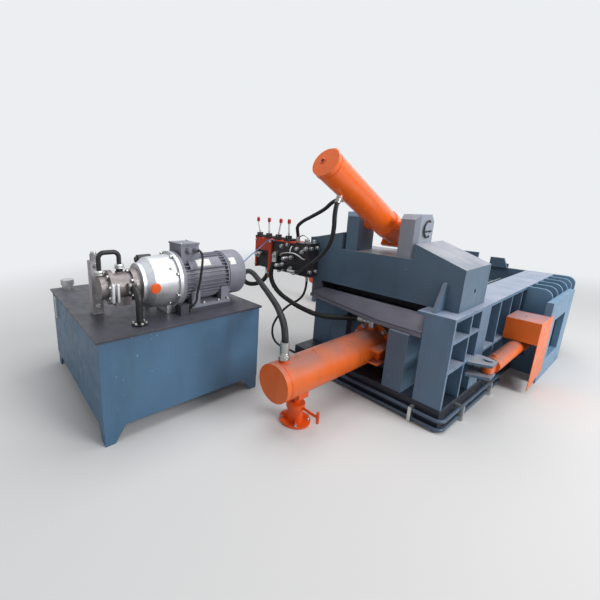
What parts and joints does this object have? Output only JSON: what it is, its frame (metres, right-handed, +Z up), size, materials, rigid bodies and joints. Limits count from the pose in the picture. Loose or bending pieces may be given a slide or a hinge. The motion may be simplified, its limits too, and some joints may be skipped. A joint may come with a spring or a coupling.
{
  "type": "recycling baler",
  "caption": "Hydraulic metal-scrap baler: press frame with lid flap, main and side rams and sliding gate, oil tank with motor and pump, lever valve bank and hoses.",
  "frame": {"origin": "on the floor under the middle of the press frame, on its main ram line", "axes": "+Z up, +Y the way the main ram pushes, +X towards the bale outlet"},
  "size_m": [2.345, 3.726, 1.5376],
  "materials": {
    "frame_blue": "worn satin paint",
    "frame_slate": "worn satin paint",
    "light_blue": "worn satin paint",
    "orange": "worn gloss paint",
    "tank_blue": "satin paint",
    "tank_dark": "satin paint",
    "wear_steel": "worn bare steel",
    "rod_steel": "polished",
    "motor_grey": "satin paint",
    "bell_alu": "cast",
    "pump_iron": "raw",
    "grey_paint": "satin paint",
    "black_steel": "satin paint",
    "zinc": "galvanised",
    "hose_rubber": "matt",
    "gauge_plastic": "clear",
    "lever_paint": "gloss",
    "valve_black": "painted",
    "pipe_paint": "satin paint"
  },
  "bodies": {
    "frame": {"base_frame": "frame_slate", "wall_right": "frame_blue", "wall_left": "frame_blue", "cylinder_mount": "frame_slate", "deck_plate": "frame_blue", "end_wall": "frame_slate", "floor_liner": "wear_steel", "bridge_beam": "frame_slate", "trunnion_cheeks": "frame_slate", "gate_yokes": "light_blue", "gate_frame": "light_blue", "gate_guides": "wear_steel", "gate_hood": "orange", "gate_bracket": "frame_slate", "gate_cylinder": "orange", "main_cylinder": "orange", "side_cylinder": "orange", "side_mount": "frame_slate", "jack_base": "orange", "hard_pipes": "pipe_paint", "pipe_clamps": "zinc", "tank": "tank_blue", "tank_cover": "tank_dark", "breather": "zinc", "level_gauge": "gauge_plastic", "motor_frame": "motor_grey", "terminal_box": "motor_grey", "fan_cowl": "motor_grey", "motor_rails": "tank_dark", "bell_housing": "bell_alu", "pump": "pump_iron", "pump_block": "grey_paint", "delivery_pipe": "black_steel", "suction_pipe": "black_steel", "return_filter": "black_steel", "valve_stand": "orange", "valve_body": "valve_black", "hose_main_1": "hose_rubber", "hose_main_2": "hose_rubber", "hose_lid_1": "hose_rubber", "hose_lid_2": "hose_rubber", "hose_gate": "hose_rubber", "hose_fittings": "zinc", "motor_cable": "hose_rubber"},
    "main_push": {"main_rod": "rod_steel", "main_ram": "frame_slate"},
    "side_push": {"side_rod": "rod_steel", "side_ram": "frame_slate"},
    "gate": {"gate": "frame_slate", "gate_rod": "rod_steel"},
    "lid": {"lid": "frame_slate"},
    "lid_barrel": {"lid_cylinder": "orange"},
    "lid_plunger": {"lid_rod": "rod_steel"},
    "jack_nut": {"jack_nut": "orange"},
    "jack_screw": {"jack_screw": "orange"},
    "rotor": {"motor_rotor": "zinc"},
    "lever_1": {"lever_1": "lever_paint"},
    "lever_2": {"lever_2": "lever_paint"},
    "lever_3": {"lever_3": "lever_paint"},
    "lever_4": {"lever_4": "lever_paint"}
  },
  "joints": [
    {"name": "main_ram_slide", "type": "slide", "parent": "frame", "child": "main_push", "axis": [0, 1, 0], "range_m": [0, 0.8]},
    {"name": "side_ram_slide", "type": "slide", "parent": "frame", "child": "side_push", "axis": [1, 0, 0], "range_m": [0, 0.88]},
    {"name": "gate_slide", "type": "slide", "parent": "frame", "child": "gate", "axis": [0, 1, 0], "range_m": [0, 0.36]},
    {"name": "lid_hinge", "type": "hinge", "parent": "frame", "child": "lid", "pos_m": [0, -0.425, 0.7], "axis": [1, 0, 0], "range_deg": [0, 50]},
    {"name": "lid_trunnion", "type": "hinge", "parent": "frame", "child": "lid_barrel", "pos_m": [-0.036, -0.755, 1.121], "axis": [1, 0, 0], "range_deg": [0, 14], "deforming": ["hose_lid_1", "hose_lid_2"]},
    {"name": "lid_rod_slide", "type": "slide", "parent": "lid_barrel", "child": "lid_plunger", "axis": [0, 0.8965, -0.4431], "range_m": [-0.25, 0]},
    {"name": "jack_turn", "type": "hinge", "parent": "frame", "child": "jack_nut", "pos_m": [0, -1.583, 0.08], "axis": [0, 0, 1], "range_deg": [0, 1800]},
    {"name": "jack_lift", "type": "slide", "parent": "frame", "child": "jack_screw", "axis": [0, 0, 1], "range_m": [-0.026, 0]},
    {"name": "motor_spin", "type": "hinge", "parent": "frame", "child": "rotor", "pos_m": [-0.672, -1.85, 0.776], "axis": [0, 1, 0], "continuous": true},
    {"name": "lever_1_tilt", "type": "hinge", "parent": "frame", "child": "lever_1", "pos_m": [-1.03, -0.984, 0.978], "axis": [1, 0, 0], "range_deg": [-18, 18], "stiffness_Nm_per_rad": 4},
    {"name": "lever_2_tilt", "type": "hinge", "parent": "frame", "child": "lever_2", "pos_m": [-0.918, -0.984, 0.978], "axis": [1, 0, 0], "range_deg": [-18, 18], "stiffness_Nm_per_rad": 4},
    {"name": "lever_3_tilt", "type": "hinge", "parent": "frame", "child": "lever_3", "pos_m": [-0.806, -0.984, 0.978], "axis": [1, 0, 0], "range_deg": [-18, 18], "stiffness_Nm_per_rad": 4},
    {"name": "lever_4_tilt", "type": "hinge", "parent": "frame", "child": "lever_4", "pos_m": [-0.694, -0.984, 0.978], "axis": [1, 0, 0], "range_deg": [-18, 18], "stiffness_Nm_per_rad": 4}
  ],
  "couplings": [
    {"joint": "lid_trunnion", "follows": "lid_hinge", "ratio": 0.268},
    {"joint": "lid_rod_slide", "follows": "lid_hinge", "m_per_rad": -0.2803},
    {"joint": "jack_lift", "follows": "jack_turn", "m_per_rad": -0.0007958}
  ]
}
